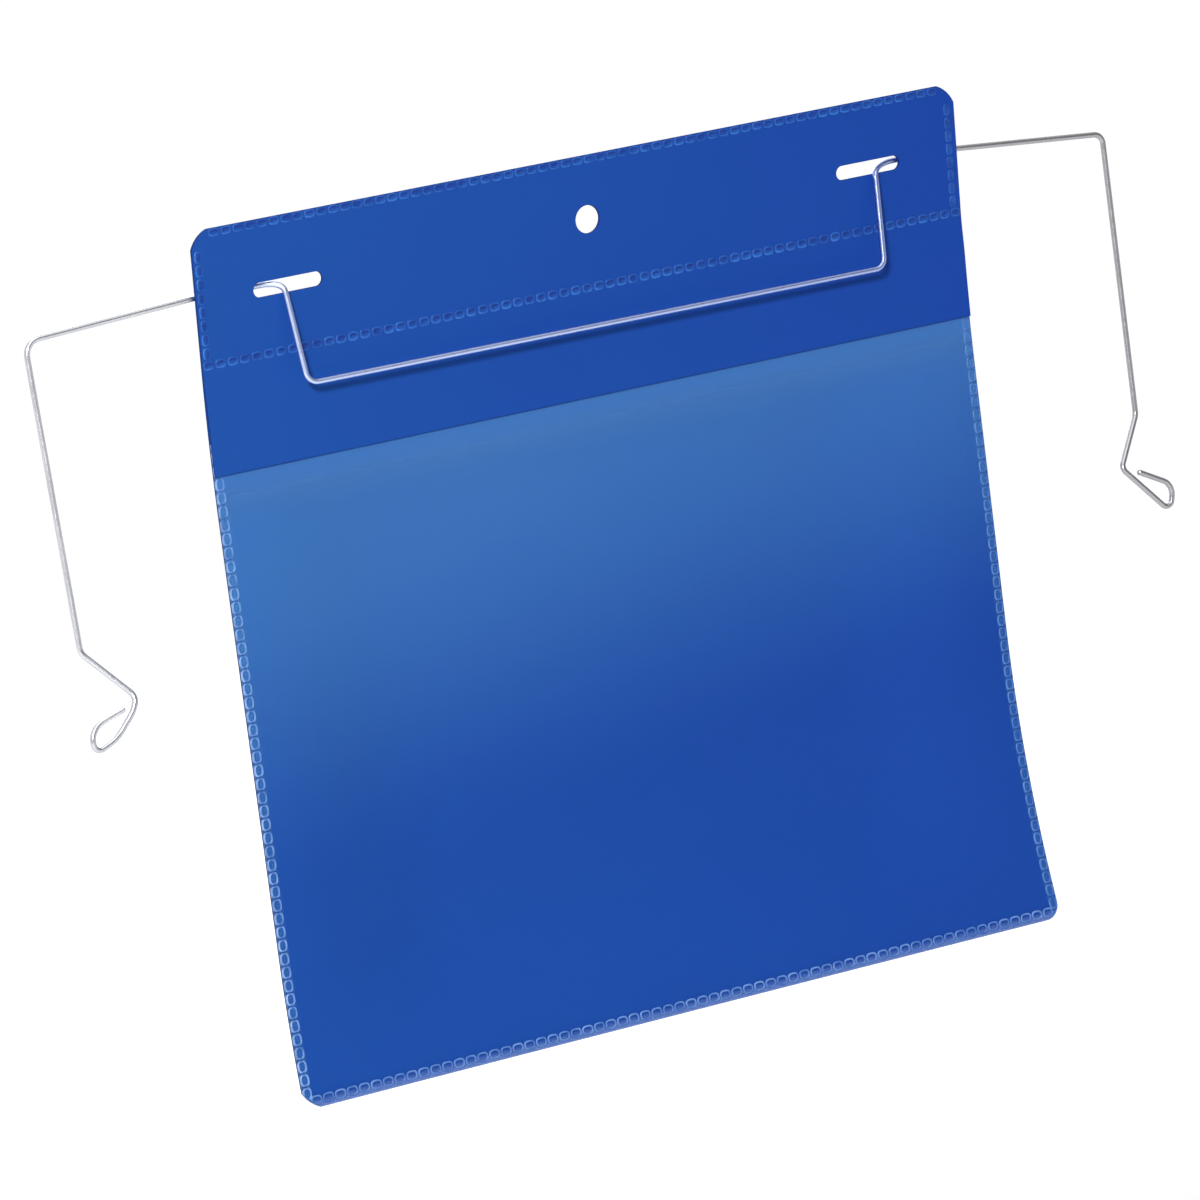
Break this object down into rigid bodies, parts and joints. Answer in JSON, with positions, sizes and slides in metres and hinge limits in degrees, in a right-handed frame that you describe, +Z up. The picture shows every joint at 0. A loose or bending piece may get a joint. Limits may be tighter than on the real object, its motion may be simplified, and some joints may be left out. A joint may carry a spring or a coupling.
{
  "type": "hanging document pocket",
  "caption": "Landscape plastic document pocket with a clear window, lift-up rain flap and header, hung from a bent wire hanger whose bail threads through two slots and ends in hook loops.",
  "frame": {"origin": "centre of the round hang hole, midway through the two header layers", "axes": "+X to the right seen from the front, along the top edge; +Y to the back; +Z up the pocket"},
  "size_m": [0.3212, 0.0186, 0.218],
  "materials": {
    "back_blue": "satin",
    "header_blue": "satin",
    "flap_blue": "satin",
    "window_film": "clear, slightly hazy",
    "wire_steel": "drawn, galvanised"
  },
  "bodies": {
    "pocket": {"back_panel": "back_blue", "header_front": "header_blue", "front_window": "window_film"},
    "hanger": {"wire_hanger": "wire_steel"},
    "flap": {"rain_flap": "flap_blue"}
  },
  "joints": [
    {"name": "hanger_swing", "type": "hinge", "parent": "pocket", "child": "hanger", "pos_m": [0, 0.00035, -0.00385], "axis": [-1, 0, 0], "range_deg": [0, 120]},
    {"name": "flap_lift", "type": "hinge", "parent": "pocket", "child": "flap", "pos_m": [0, 0.00114, -0.0293], "axis": [-1, 0, 0], "range_deg": [0, 100], "stiffness_Nm_per_rad": 0.01}
  ]
}
